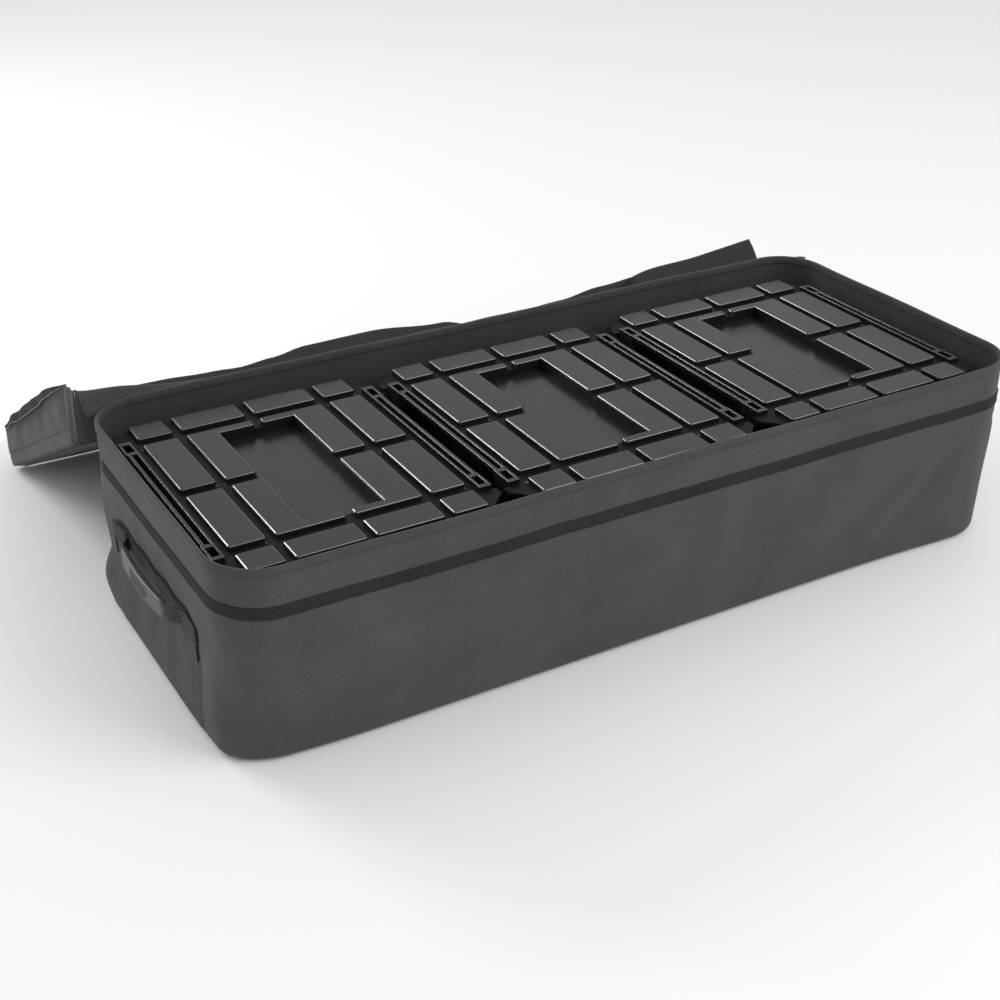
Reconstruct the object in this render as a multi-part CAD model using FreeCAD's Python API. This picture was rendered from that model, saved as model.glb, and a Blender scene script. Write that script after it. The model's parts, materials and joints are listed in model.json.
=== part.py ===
import FreeCAD, Part

import math
import os

from FreeCAD import Vector

# Three folding traction mats in a soft storage bag. Millimetres, Z up.
# Origin: centre of the bag's bottom face. X runs along the bag, Y from the front to the back.

# ---- moulded mat panel -------------------------------------------------
padFieldLength = 226.7        # tread field along X
padFieldDepth = 305.0         # tread field along Y, across the track of a tyre
panelThickness = 36.6
panelGap = 0.3                # free space between folded panels
padHeight = 5.7
plateThickness = 3.5
columnChannel = 8.3           # grooves between the tread pads, along Y
rowChannel = 13.4             # and along X
outerColumn = 34.8            # width of the pads at the two hinged edges
cornerRow = 30.2              # depth of the pads along the front and back edges
recessLeft = 73.3             # recess edges, from the field's left edge
recessRight = 149.5
recessInset = 53.4            # from the field's front and back edges to the recess
recessDepth = 12.5
wallThickness = 3.0           # outer skirt and the ribs under the plate
hingeReach = 24.45            # hinge axis beyond the tread field
railOffset = 7.2              # thin rail beside the tread field
railWidth = 2.4
railDrop = 0.5                # rail, lugs and bar below the pad tops
barOffset = 16.6              # long bar between the lugs, from the tread field
barWidth = 3.6
barHeight = 4.4
lugInner = 95.0               # hinge lugs, from the panel's middle along Y
lugOuter = 122.0
pocketInset = 5.0
pocketDepth = 9.0
edgeMargin = 4.0              # plate beyond the pads at the front and back
cornerMargin = 7.0            # its corners reach further
cornerEar = 39.0              # length of a plate corner along X, from the field's edge inwards
cornerStraight = 9.5          # its edge beyond the lug, up to the bevel
foldClearance = 0.4           # plate edge to hinge axis, and lug to the turning hook
pinRadius = 2.0               # the moulded pins and hooks are many-sided
pinSides = 6
boreClearance = 0.3
hookWall = 2.0
hookLip = 1.5                 # the hook reaches past the hinge axis by this much
hookWidth = 15.0
hookToEar = 1.5
earWidth = 6.0
earReach = 6.0
earBeyond = 1.8               # ear beyond the hinge axis

panelsPerMat = 5
matNames = ["mat_a", "mat_b", "mat_c"]
roomLeft = 3.6                # the loose stacks don't stand evenly in the bag
roomBetween = [1.4, 5.5]
roomRight = 19.3
roomFrontBack = 24.2
matY = [-2.0, -5.8, -3.0]

# ---- bag ---------------------------------------------------------------
rimAboveMats = 16.3
bagCornerRadius = 50.0
clothThickness = 2.0          # padded cloth wall
floorThickness = 1.2
boardThickness = 3.0
boardEndClearance = 9.5       # the cloth's bottom edge is rounded, and its long
boardSideClearance = 24.5     # walls lean in at the foot, so the board stands clear of both
bindingHeight = 9.0
trimThickness = 1.0           # binding, closure band and handle patches
bandDrop = 37.0               # closure band below the rim
bandHeight = 12.5
patchLength = 219.0
patchY = 4.8
patchTop = 122.0
patchBottom = 4.0
patchRound = 26.0

# ---- carrying handles --------------------------------------------------
handleZ = 109.0
gripLength = 114.0
gripHeight = 17.0
gripThickness = 7.0
gripSagitta = 3.5             # the grip bows outwards
gripLipDepth = 0.8
gripLip = 1.6                 # raised lower edge
fingerGap = 6.5               # patch to the grip's ends
strapHeight = 15.0
strapThickness = 2.0
strapStart = 3.0              # strap above the patch where it leaves its tab
strapRun = 18.0               # from the tab to the grip, along Y
tabLength = 34.0
tabHeight = 19.0
tabThickness = 2.4
tabClearance = 0.4

# ---- lid ---------------------------------------------------------------
lidThickness = 2.0
lidRise = 0.8                 # closed lid above the rim
lidSetback = 3.5              # hinge line behind the bag's back wall
lidStrip = 50.0               # hinge strip, from the back rim to the fold
lidSlit = 0.8                 # at the fold
lidCornerRadius = 22.0
skirtHeight = 64.0
skirtThickness = 1.6
skirtClearance = 1.5          # to the bag's trim when closed
skirtStart = 45.0             # the end skirts begin this far in front of the fold
lidHang = 75.0                # open: the strip hangs this steeply behind the bag
lidRest = 0.4                 # open lid above the ground

pitch = panelThickness + panelGap
hingeX = padFieldLength / 2 + hingeReach
hookReach = pinRadius + boreClearance + hookWall
lugReach = hingeReach - hookReach / math.cos(math.radians(22.5)) - foldClearance
stackFloor = floorThickness + boardThickness + panelGap
matLength = 2 * (hingeX + earBeyond)
matCount = len(matNames)
bagLength = 2 * clothThickness + roomLeft + matCount * matLength + sum(roomBetween) + roomRight
bagDepth = 2 * (clothThickness + roomFrontBack) + padFieldDepth + 2 * cornerMargin
bagHeight = stackFloor + panelsPerMat * pitch - panelGap + rimAboveMats
X, Y, Z = Vector(1, 0, 0), Vector(0, 1, 0), Vector(0, 0, 1)


def prismAlongY(radius, x, z, y0, y1):
    """Many-sided bar with a flat on top; its sides are radius from the axis."""
    corner = radius / math.cos(math.pi / pinSides)
    turns = [2 * math.pi * (i + 0.5) / pinSides for i in range(pinSides)]
    face = polygonFace([Vector(x + corner * math.sin(t), y0, z + corner * math.cos(t)) for t in turns])
    return face.extrude(Y * (y1 - y0))


def box(x0, x1, y0, y1, z0, z1):
    return Part.makeBox(x1 - x0, y1 - y0, z1 - z0, Vector(x0, y0, z0))


def polygonFace(points):
    return Part.Face(Part.makePolygon(points + points[:1]))


def roundedOutline(length, depth, radius, z):
    """Rounded rectangle round the Z axis, as a closed wire of arcs and lines."""
    a, b = length / 2 - radius, depth / 2 - radius
    centres = [(a, b), (-a, b), (-a, -b), (a, -b)]

    def at(corner, turn):
        x, y = centres[corner % 4]
        angle = math.radians(90 * corner + turn)
        return Vector(x + radius * math.cos(angle), y + radius * math.sin(angle), z)

    edges = []
    for corner in range(4):
        edges.append(Part.Arc(at(corner, 0), at(corner, 45), at(corner, 90)))
        edges.append(Part.LineSegment(at(corner, 90), at(corner + 1, 0)))
    return Part.Wire([edge.toShape() for edge in edges])


def roundedBlock(length, depth, radius, z0, z1):
    return Part.Face(roundedOutline(length, depth, radius, z0)).extrude(Z * (z1 - z0))


def ringWall(length, depth, radius, thickness, z0, z1):
    """Upright wall on a rounded outline, thickness measured inwards."""
    inner = roundedBlock(length - 2 * thickness, depth - 2 * thickness, radius - thickness, z0, z1)
    return roundedBlock(length, depth, radius, z0, z1).cut(inner)


def save(name, shape):
    shape.exportStep("parts/" + name + ".step")


# ---- panel -------------------------------------------------------------
def bothEnds(limits):
    """The same interval near the front and near the back."""
    return [limits, (-limits[1], -limits[0])]


def padRectangles():
    """Outer ring of tread pads as (x0, x1, y0, y1) about the field's middle."""
    hx, hy = padFieldLength / 2, padFieldDepth / 2
    inner = hx - outerColumn - columnChannel
    outerX = [(-hx, -hx + outerColumn), (hx - outerColumn, hx)]
    innerX = [(-inner, -columnChannel / 2), (columnChannel / 2, inner)]
    rows = [(-hy, -hy + cornerRow), (hy - cornerRow, hy)]
    sides = bothEnds((rowChannel / 2, hy - cornerRow - rowChannel))
    return [(*c, *r) for c in outerX for r in rows + sides] + [(*c, *r) for c in innerX for r in rows]


def innerPads():
    """The four angled pads that frame the recess."""
    hx, hy = padFieldLength / 2, padFieldDepth / 2
    foot, top, lip = rowChannel / 2, hy - cornerRow - rowChannel, hy - recessInset
    reach = hx - outerColumn - columnChannel
    edges = [(-reach, recessLeft - hx, -columnChannel / 2), (reach, recessRight - hx, columnChannel / 2)]
    for outer, inner, middle in edges:
        for side in (-1, 1):
            corners = [(outer, foot), (outer, top), (middle, top), (middle, lip), (inner, lip), (inner, foot)]
            yield [Vector(x, side * y, 0) for x, y in corners]


def plateOutline(z):
    """Plate with four corner ears and the hinge sides cut back between them."""
    ear = hingeX - foldClearance
    side = padFieldLength / 2 + railOffset + railWidth
    step = padFieldLength / 2 - cornerEar
    outer = padFieldDepth / 2 + cornerMargin
    middle = padFieldDepth / 2 + edgeMargin
    bevelStart = lugOuter + cornerStraight
    bevel = outer - bevelStart
    quarter = [
        (side, lugOuter), (ear, lugOuter), (ear, bevelStart), (ear - bevel, outer),
        (step, outer), (step, middle),
    ]
    loop = quarter + [(-x, y) for x, y in reversed(quarter)]
    loop += [(-x, -y) for x, y in quarter] + [(x, -y) for x, y in reversed(quarter)]
    return polygonFace([Vector(x, y, z) for x, y in loop])


def panelBody():
    """Tread pads up, underside at z = 0, before the hinge parts are added."""
    hx, hy = padFieldLength / 2, padFieldDepth / 2
    plateTop = panelThickness - padHeight
    plateBottom = plateTop - plateThickness
    recessFloor = panelThickness - recessDepth
    pieces = [plateOutline(plateBottom).extrude(Z * plateThickness)]
    for x0, x1, y0, y1 in padRectangles():
        pieces.append(box(x0, x1, y0, y1, plateTop, panelThickness))
    for corners in innerPads():
        face = polygonFace([c + Z * plateTop for c in corners])
        pieces.append(face.extrude(Z * padHeight))
    core = box(-hx, hx, -hy, hy, 0, plateBottom)
    ribs = [recessLeft - hx - wallThickness, recessRight - hx]
    cells = [
        (-hx + wallThickness, ribs[0]),
        (ribs[0] + wallThickness, ribs[1]),
        (ribs[1] + wallThickness, hx - wallThickness),
    ]
    ceilings = [plateBottom, recessFloor - plateThickness, plateBottom]
    for (x0, x1), ceiling in zip(cells, ceilings):
        core = core.cut(box(x0, x1, -hy + wallThickness, hy - wallThickness, 0, ceiling))
    pieces.append(core)
    body = pieces[0].multiFuse(pieces[1:])
    well = box(recessLeft - hx, recessRight - hx, -hy + recessInset, hy - recessInset, recessFloor, panelThickness)
    return body.cut(well)


def lug(y0, y1):
    """Hinge lug on the right side: full height, hollow at the top."""
    field = padFieldLength / 2
    start, reach = field + railOffset + railWidth, field + lugReach
    top = panelThickness - railDrop
    pocket = box(start, reach - pocketInset / 2, y0 + pocketInset, y1 - pocketInset, top - pocketDepth, top)
    return box(start, reach, y0, y1, railDrop, top).cut(pocket)


def edgeParts():
    """Rail, long bar and lugs beside the tread field, on the right side."""
    field = padFieldLength / 2
    plateBottom = panelThickness - padHeight - plateThickness
    top = panelThickness - railDrop
    rail = field + railOffset
    bar = field + barOffset
    return [
        box(rail, rail + railWidth, -lugOuter, lugOuter, plateBottom, top),
        box(bar - barWidth / 2, bar + barWidth / 2, -lugInner, lugInner, top - barHeight, top),
    ] + [lug(y0, y1) for y0, y1 in bothEnds((lugInner, lugOuter))]


def hingeStations():
    """Hook intervals along Y, one near the back and one near the front."""
    outer = lugOuter - hookToEar
    return bothEnds((outer - hookWidth, outer))


def hooks():
    """Snap hooks round the hinge axis below the panel, on the right side."""
    axisZ = -panelGap / 2
    reach = hookReach
    corner = reach * math.tan(math.radians(22.5))
    start = padFieldLength / 2 + lugReach - hingeX
    outline = [
        (hookLip, reach), (start, reach), (start, railDrop - axisZ), (-reach, railDrop - axisZ),
        (-reach, -corner), (-corner, -reach), (hookLip, -reach),
    ]
    found = []
    for y0, y1 in hingeStations():
        body = polygonFace([Vector(hingeX + x, y0, axisZ + z) for x, z in outline]).extrude(Y * (y1 - y0))
        found.append(body.cut(prismAlongY(pinRadius + boreClearance, hingeX, axisZ, y0, y1)))
    return found


def pins(onUnderside):
    """Hinge pins at the panel's upper side, each on its ear at a plate corner, on the right side."""
    axisZ = panelThickness + panelGap / 2
    plate = padHeight + plateThickness
    footZ = plate if onUnderside else panelThickness - plate
    found = []
    # the pin's corners, not its flats, are pinRadius from the axis
    flat = pinRadius * math.cos(math.pi / pinSides)
    tip = lugOuter - hookWidth - 2 * hookToEar
    for end in (-1, 1):
        y0, y1 = sorted((end * lugOuter, end * (lugOuter + earWidth)))
        ear = box(hingeX - earReach, hingeX + earBeyond, y0, y1, footZ, axisZ + flat)
        pin = prismAlongY(flat, hingeX, axisZ, *sorted((end * tip, end * lugOuter)))
        found.append(ear.fuse(pin))
    return found


def mirrored(shape):
    return shape.mirror(Vector(0, 0, 0), X)


def turnedOver(shape):
    """The same moulding lying tread down."""
    flipped = shape.copy()
    flipped.rotate(Vector(0, 0, panelThickness / 2), Y, 180)
    return flipped


def panel(index, moulding):
    """Panel of a folded mat, counted from the bottom. The treads face up on every other panel,
    starting with the lowest, and the hinges alternate between the right and left edges: treads
    meet at the right-hand hinges, undersides at the left-hand ones."""
    facesUp = index % 2 == 0
    parts = [moulding if facesUp else turnedOver(moulding)]
    if index > 0:
        below = hooks()
        parts += [mirrored(hook) for hook in below] if facesUp else below
    if index < panelsPerMat - 1:
        above = pins(onUnderside=not facesUp)
        parts += above if facesUp else [mirrored(pin) for pin in above]
    return parts[0].multiFuse(parts[1:]).removeSplitter()


def saveMats():
    rightEdge = edgeParts()
    moulding = panelBody().multiFuse(rightEdge + [mirrored(part) for part in rightEdge]).removeSplitter()
    panels = [panel(index, moulding) for index in range(panelsPerMat)]
    first = -bagLength / 2 + clothThickness + roomLeft + matLength / 2
    matX = [first + i * matLength + sum(roomBetween[:i]) for i in range(matCount)]
    for name, x, y in zip(matNames, matX, matY):
        for index, shape in enumerate(panels):
            placed = shape.copy()
            placed.translate(Vector(x, y, stackFloor + index * pitch))
            save("%s_panel_%d" % (name, index + 1), placed)


# ---- bag ---------------------------------------------------------------
def bagTrim(thickness, z0, z1):
    """Band round the bag, standing proud of the wall; thickness is measured inwards."""
    grown = 2 * trimThickness
    return ringWall(bagLength + grown, bagDepth + grown, bagCornerRadius + trimThickness, thickness, z0, z1)


def handlePatch():
    """Reinforcement on the right end, with rounded top corners."""
    half = patchLength / 2
    r = patchRound
    diagonal = r * (1 - math.sqrt(0.5))
    x = bagLength / 2

    def at(y, z):
        return Vector(x, patchY + y, z)

    edges = [
        Part.LineSegment(at(-half, patchBottom), at(half, patchBottom)),
        Part.LineSegment(at(half, patchBottom), at(half, patchTop - r)),
        Part.Arc(at(half, patchTop - r), at(half - diagonal, patchTop - diagonal), at(half - r, patchTop)),
        Part.LineSegment(at(half - r, patchTop), at(r - half, patchTop)),
        Part.Arc(at(r - half, patchTop), at(diagonal - half, patchTop - diagonal), at(-half, patchTop - r)),
        Part.LineSegment(at(-half, patchTop - r), at(-half, patchBottom)),
    ]
    return Part.Face(Part.Wire([edge.toShape() for edge in edges])).extrude(X * trimThickness)


def saveBag():
    bindingFoot = bagHeight - bindingHeight
    save("bag_floor", roundedBlock(bagLength, bagDepth, bagCornerRadius, 0, floorThickness))
    save("bag_wall", ringWall(bagLength, bagDepth, bagCornerRadius, clothThickness, floorThickness, bindingFoot))
    endInset = clothThickness + boardEndClearance
    sideInset = clothThickness + boardSideClearance
    boardLength, boardDepth = bagLength - 2 * endInset, bagDepth - 2 * sideInset
    boardTop = floorThickness + boardThickness
    board = roundedBlock(boardLength, boardDepth, bagCornerRadius - endInset, floorThickness, boardTop)
    save("base_board", board)
    save("rim_binding", bagTrim(clothThickness + trimThickness, bindingFoot, bagHeight))
    bandTop = bagHeight - bandDrop
    backEnd = bagDepth / 2 - bagCornerRadius
    reach = bagLength / 2 + trimThickness
    kept = box(-reach, reach, -bagDepth, backEnd, bandTop - bandHeight, bandTop)
    save("closure_band", bagTrim(trimThickness, bandTop - bandHeight, bandTop).common(kept))


# ---- carrying handles --------------------------------------------------
def bowRadius(halfLength, sagitta):
    return (halfLength**2 + sagitta**2) / (2 * sagitta)


def bowed(halfLength, sagitta, inner, thickness, z0, z1):
    """Bar along Y that bows outwards (+X), between two arcs of one centre, with radial ends."""
    radius = bowRadius(halfLength, sagitta)
    angle = math.asin(halfLength / radius)
    centre = inner + sagitta - radius

    def at(r, t):
        return Vector(centre + r * math.cos(t), r * math.sin(t), z0)

    rOut = radius + thickness
    edges = [
        Part.Arc(at(radius, -angle), at(radius, 0), at(radius, angle)),
        Part.LineSegment(at(radius, angle), at(rOut, angle)),
        Part.Arc(at(rOut, angle), at(rOut, 0), at(rOut, -angle)),
        Part.LineSegment(at(rOut, -angle), at(radius, -angle)),
    ]
    return Part.Face(Part.Wire([edge.toShape() for edge in edges])).extrude(Z * (z1 - z0))


def saveHandles():
    """Patch, strap tabs, strap ends and grip, made at the right end and mirrored to the left."""
    patchX = bagLength / 2 + trimThickness
    half = gripLength / 2
    gripFoot, gripTop = handleZ - gripHeight / 2, handleZ + gripHeight / 2
    gripX = patchX + fingerGap
    grip = bowed(half, gripSagitta, gripX, gripThickness, gripFoot, gripTop)
    lip = bowed(half, gripSagitta, gripX + gripThickness, gripLipDepth, gripFoot, gripFoot + gripLip)
    parts = {"handle_patch": handlePatch(), "grip": grip.fuse(lip).removeSplitter()}
    strapFoot = handleZ - strapHeight / 2
    slant = math.asin(half / bowRadius(half, gripSagitta))
    start = half + strapRun

    def onGripEnd(depth):
        return gripX + depth * math.cos(slant), half + depth * math.sin(slant)

    inset = (gripThickness - strapThickness) / 2
    for end, name in ((-1, "front"), (1, "back")):
        corners = [
            (patchX + strapStart, start), onGripEnd(inset),
            onGripEnd(inset + strapThickness), (patchX + strapStart + strapThickness, start),
        ]
        strap = polygonFace([Vector(x, end * y, strapFoot) for x, y in corners]).extrude(Z * strapHeight)
        y0, y1 = sorted((end * (start + tabClearance), end * (start + tabClearance + tabLength)))
        tab = box(patchX, patchX + tabThickness, y0, y1, handleZ - tabHeight / 2, handleZ + tabHeight / 2)
        parts["handle_strap_" + name] = strap
        parts["handle_tab_" + name] = tab
    for name, shape in parts.items():
        save(name + "_right", shape)
        save(name + "_left", mirrored(shape))


# ---- lid ---------------------------------------------------------------
def saveLid():
    """Made closed, then opened: first the fold, then the hinge line behind the back rim."""
    margin = trimThickness + skirtClearance + skirtThickness
    length = bagLength + 2 * margin
    front = -bagDepth / 2 - margin
    back = bagDepth / 2 + lidSetback
    under = bagHeight + lidRise
    foldY = back - lidStrip
    middle = Vector(0, (front + back) / 2, 0)
    radius = lidCornerRadius
    board = foldY - front
    drop = under - lidStrip * math.sin(math.radians(lidHang)) - lidRest
    # at this slope the far edge of the board's outer face is lidRest above the ground
    slope = math.degrees(math.asin(drop / math.hypot(board, lidThickness)) - math.atan(lidThickness / board))

    def block(grow, z0, z1):
        shape = roundedBlock(length + 2 * grow, back - front + 2 * grow, radius + grow, z0, z1)
        shape.translate(middle)
        return shape

    def opened(shape, folded):
        turned = shape.copy()
        if folded:
            turned.rotate(Vector(0, foldY, under), X, lidHang - slope)
        turned.rotate(Vector(0, back, under), X, -180 - lidHang)
        return turned

    sheet = block(0, under, under + lidThickness)
    reach = length
    ahead = box(-reach, reach, -reach, foldY - lidSlit / 2, 0, 2 * under)
    behind = box(-reach, reach, foldY + lidSlit / 2, back - lidSlit / 2, 0, 2 * under)
    save("lid_board", opened(sheet.common(ahead), True))
    save("lid_hinge_strip", opened(sheet.common(behind), False))
    kept = box(-reach, reach, -reach, foldY - skirtStart, 0, 2 * under)
    skirt = block(0, under - skirtHeight, under).cut(block(-skirtThickness, under - skirtHeight, under))
    save("lid_skirt", opened(skirt.common(kept), True))


os.makedirs("parts", exist_ok=True)
saveMats()
saveBag()
saveHandles()
saveLid()
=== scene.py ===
import json
import math

import bmesh
import bpy
import numpy as np
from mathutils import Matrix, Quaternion, Vector

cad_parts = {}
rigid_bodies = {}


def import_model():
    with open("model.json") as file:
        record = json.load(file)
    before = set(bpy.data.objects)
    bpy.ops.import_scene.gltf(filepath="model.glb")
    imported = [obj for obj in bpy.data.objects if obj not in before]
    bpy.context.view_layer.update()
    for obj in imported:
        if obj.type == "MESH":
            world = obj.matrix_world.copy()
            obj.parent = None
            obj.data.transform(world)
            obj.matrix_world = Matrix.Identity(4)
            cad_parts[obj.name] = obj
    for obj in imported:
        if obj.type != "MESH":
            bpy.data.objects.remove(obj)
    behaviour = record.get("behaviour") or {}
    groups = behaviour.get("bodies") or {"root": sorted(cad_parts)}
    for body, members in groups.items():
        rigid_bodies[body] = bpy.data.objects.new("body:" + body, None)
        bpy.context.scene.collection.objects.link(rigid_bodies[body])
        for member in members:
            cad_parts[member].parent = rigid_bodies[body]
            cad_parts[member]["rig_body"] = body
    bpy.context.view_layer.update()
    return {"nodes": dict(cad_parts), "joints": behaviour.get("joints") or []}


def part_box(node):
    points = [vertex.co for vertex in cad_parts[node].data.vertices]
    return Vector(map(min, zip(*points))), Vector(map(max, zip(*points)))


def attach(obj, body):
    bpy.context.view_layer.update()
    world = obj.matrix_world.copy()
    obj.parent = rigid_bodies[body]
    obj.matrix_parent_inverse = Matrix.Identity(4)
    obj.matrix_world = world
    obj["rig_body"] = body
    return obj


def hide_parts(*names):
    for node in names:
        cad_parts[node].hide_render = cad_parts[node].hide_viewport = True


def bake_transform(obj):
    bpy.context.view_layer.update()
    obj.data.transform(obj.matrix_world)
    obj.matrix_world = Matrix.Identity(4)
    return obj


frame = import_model()
nodes = frame["nodes"]
mm = 0.001
print("frame loaded")


# Camera: its place, the way it looks and its focal length in millimetres.
view = {
    "place": (-0.7742, -1.2057, 0.8569),
    "towards": (0.4384, 0.7587, -0.4821),
    "lens": 56.8, "sensor": 36,
    "near": 0.05, "far": 60,
}


# The camera looks along a direction, with its top kept upwards.
def setCamera():
    data = bpy.data.cameras.new("camera")
    data.lens = view["lens"]
    data.sensor_width = view["sensor"]
    data.clip_start, data.clip_end = view["near"], view["far"]
    camera = bpy.data.objects.new("camera", data)
    bpy.context.scene.collection.objects.link(camera)
    camera.location = view["place"]
    camera.rotation_mode = "QUATERNION"
    camera.rotation_quaternion = Vector(view["towards"]).to_track_quat("-Z", "Y")
    bpy.context.scene.camera = camera


setCamera()
bpy.context.scene.view_settings.view_transform = "Standard"


# Linear colour from a hex sRGB one: each channel undoes the sRGB curve.
def srgb(code):
    channels = [int(code[i:i + 2], 16) / 255 for i in (1, 3, 5)]
    return [c / 12.92 if c <= 0.04045 else ((c + 0.055) / 1.055) ** 2.4 for c in channels] + [1.0]


# Adds a node. Settings are its properties; inputs are values, or sockets to link from.
def addNode(tree, kind, settings=None, inputs=None):
    node = tree.nodes.new(kind)
    for name, value in (settings or {}).items():
        setattr(node, name, value)
    for name, value in (inputs or {}).items():
        if isinstance(value, bpy.types.NodeSocket):
            tree.links.new(value, node.inputs[name])
        else:
            node.inputs[name].default_value = value
    return node


# A material with no nodes yet, and its tree.
def newMaterial(name):
    material = bpy.data.materials.new(name)
    material.use_nodes = True
    material.node_tree.nodes.clear()
    return material, material.node_tree


def closeMaterial(tree, shader):  # the shader goes out to the surface
    out = addNode(tree, "ShaderNodeOutputMaterial")
    tree.links.new(shader.outputs[0], out.inputs["Surface"])


# Floor, world and lamps. A lamp's turn is in degrees, its power in watts.
studio = {
    "floor": "#fafafa", "floorHalf": 12.0, "floorDrop": 0.5 * mm,
    "world": 0.72, "backdrop": 1.0,
    "aim": (0, 0, 0.1),
    "backLeft": {"place": (-1.35, 2.15, 1.45), "size": (1.35, 0.25), "turn": -42, "power": 23},
    "key": {"place": (1.5, -2.0, 2.3), "size": (2.2, 0.9), "turn": 0, "power": 36},
}


# An area lamp that faces the aim and is then turned about that line.
def addLamp(name, place, size, turn, power):
    data = bpy.data.lights.new(name, "AREA")
    data.shape = "RECTANGLE"
    data.size, data.size_y = size
    data.energy = power
    lamp = bpy.data.objects.new(name, data)
    bpy.context.scene.collection.objects.link(lamp)
    lamp.location = place
    lamp.rotation_mode = "QUATERNION"
    aim = (Vector(studio["aim"]) - Vector(place)).to_track_quat("-Z", "Y")
    lamp.rotation_quaternion = aim @ Quaternion((0, 0, 1), math.radians(turn))


# A painted floor, just under the bag.
def setFloor():
    material, tree = newMaterial("paintedFloor")
    shader = addNode(tree, "ShaderNodeBsdfDiffuse", inputs={"Color": srgb(studio["floor"])})
    closeMaterial(tree, shader)
    mesh = bpy.data.meshes.new("floor")
    r = studio["floorHalf"]
    mesh.from_pydata([(-r, -r, 0), (r, -r, 0), (r, r, 0), (-r, r, 0)], [], [(0, 1, 2, 3)])
    mesh.materials.append(material)
    floor = bpy.data.objects.new("floor", mesh)
    floor.location.z = -studio["floorDrop"]
    bpy.context.scene.collection.objects.link(floor)


# The world gives even light, and shows itself to the camera as plain white.
def setWorld():
    world = bpy.data.worlds.new("studioWorld")
    world.use_nodes = True
    bpy.context.scene.world = world
    tree = world.node_tree
    tree.nodes.clear()
    path = addNode(tree, "ShaderNodeLightPath")
    light, white = [
        addNode(tree, "ShaderNodeBackground", inputs={"Color": (1, 1, 1, 1), "Strength": strength}).outputs[0]
        for strength in (studio["world"], studio["backdrop"])
    ]
    mix = addNode(tree, "ShaderNodeMixShader", inputs={0: path.outputs["Is Camera Ray"], 1: light, 2: white})
    out = addNode(tree, "ShaderNodeOutputWorld")
    tree.links.new(mix.outputs[0], out.inputs["Surface"])


setFloor()
setWorld()
for name in ("backLeft", "key"):
    addLamp(name, **studio[name])
print("stage ready")


# Noise: a value between 0 and 1 that wanders from place to place.
def noise(tree, place, scale, detail, roughness=0.5):
    inputs = {"Vector": place, "Scale": scale, "Detail": detail, "Roughness": roughness}
    return addNode(tree, "ShaderNodeTexNoise", inputs=inputs).outputs["Fac"]


# Value between low and high, turned into one between start and end.
def remap(tree, value, low, high, start=0.0, end=1.0):
    inputs = {"Value": value, "From Min": low, "From Max": high, "To Min": start, "To Max": end}
    return addNode(tree, "ShaderNodeMapRange", inputs=inputs).outputs[0]


# In a colour mix, inputs 6 and 7 are the two colours and output 2 is the result.
def mixColours(tree, share, first, second):
    mix = addNode(tree, "ShaderNodeMix", {"data_type": "RGBA"}, {"Factor": share})
    mix.inputs[6].default_value = srgb(first)
    mix.inputs[7].default_value = srgb(second)
    return mix.outputs[2]


# The surface direction, bent by the slope of a height.
def bumped(tree, height, strength, distance):
    inputs = {"Height": height, "Strength": strength, "Distance": distance}
    return addNode(tree, "ShaderNodeBump", inputs=inputs).outputs[0]


# Black injection-moulded polypropylene, smooth or matt, with faint flow marks and a few scuffs.
def polypropylene(name, dark, scuffed, scuffShare, roughness, specular):
    material, tree = newMaterial(name)
    place = addNode(tree, "ShaderNodeTexCoord").outputs["Object"]
    flow = noise(tree, place, scale=9.0, detail=4.0)
    stretch = addNode(tree, "ShaderNodeMapping", inputs={"Vector": place, "Scale": (35, 420, 60),
                                                         "Rotation": (0, 0, 0.6)})
    scuff = noise(tree, stretch.outputs[0], scale=1.0, detail=3.0)
    marks = remap(tree, scuff, 0.6, 0.8, 0.0, scuffShare)
    colour = mixColours(tree, marks, dark, scuffed)
    rough = remap(tree, flow, 0.3, 0.7, roughness - 0.05, roughness + 0.05)
    grain = noise(tree, place, scale=1400.0, detail=1.0)
    bump = bumped(tree, grain, strength=0.08, distance=0.2 * mm)
    shader = addNode(tree, "ShaderNodeBsdfPrincipled", inputs={
        "Base Color": colour, "Roughness": rough, "IOR": 1.49, "Specular IOR Level": specular,
        "Normal": bump})
    closeMaterial(tree, shader)
    return material


# Woven polyester on the UV map, in metres: two crossed ribs, one along each thread.
# Real threads are about 0.5 mm; they are drawn coarser so that they show.
def wovenCloth(name, light, dark, thread, bumpStrength, sheen):
    material, tree = newMaterial(name)
    uv = addNode(tree, "ShaderNodeUVMap", {"uv_map": "cloth"}).outputs["UV"]
    turns = 1 / thread / 2
    rib = {"Vector": uv, "Scale": turns / math.pi, "Distortion": 0.6, "Detail": 1.0, "Detail Scale": 2.0}
    warp, weft = [
        addNode(tree, "ShaderNodeTexWave", {"wave_type": "BANDS", "bands_direction": axis}, rib)
        for axis in "XY"
    ]
    both = addNode(tree, "ShaderNodeMath", {"operation": "MULTIPLY"},
                   {0: warp.outputs["Fac"], 1: weft.outputs["Fac"]})
    blotch = noise(tree, uv, scale=14.0, detail=5.0, roughness=0.6)
    speck = noise(tree, uv, scale=700.0, detail=2.0)
    mixed = addNode(tree, "ShaderNodeMath", {"operation": "MULTIPLY_ADD"}, {0: blotch, 1: 0.7, 2: speck})
    colour = mixColours(tree, remap(tree, mixed.outputs[0], 0.6, 1.1), dark, light)
    bump = bumped(tree, both.outputs[0], bumpStrength, distance=thread)
    shader = addNode(tree, "ShaderNodeBsdfPrincipled", inputs={
        "Base Color": colour, "Roughness": 0.85, "Specular IOR Level": 0.2, "Sheen Weight": sheen,
        "Sheen Roughness": 0.45, "Normal": bump})
    closeMaterial(tree, shader)
    return material


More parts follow.
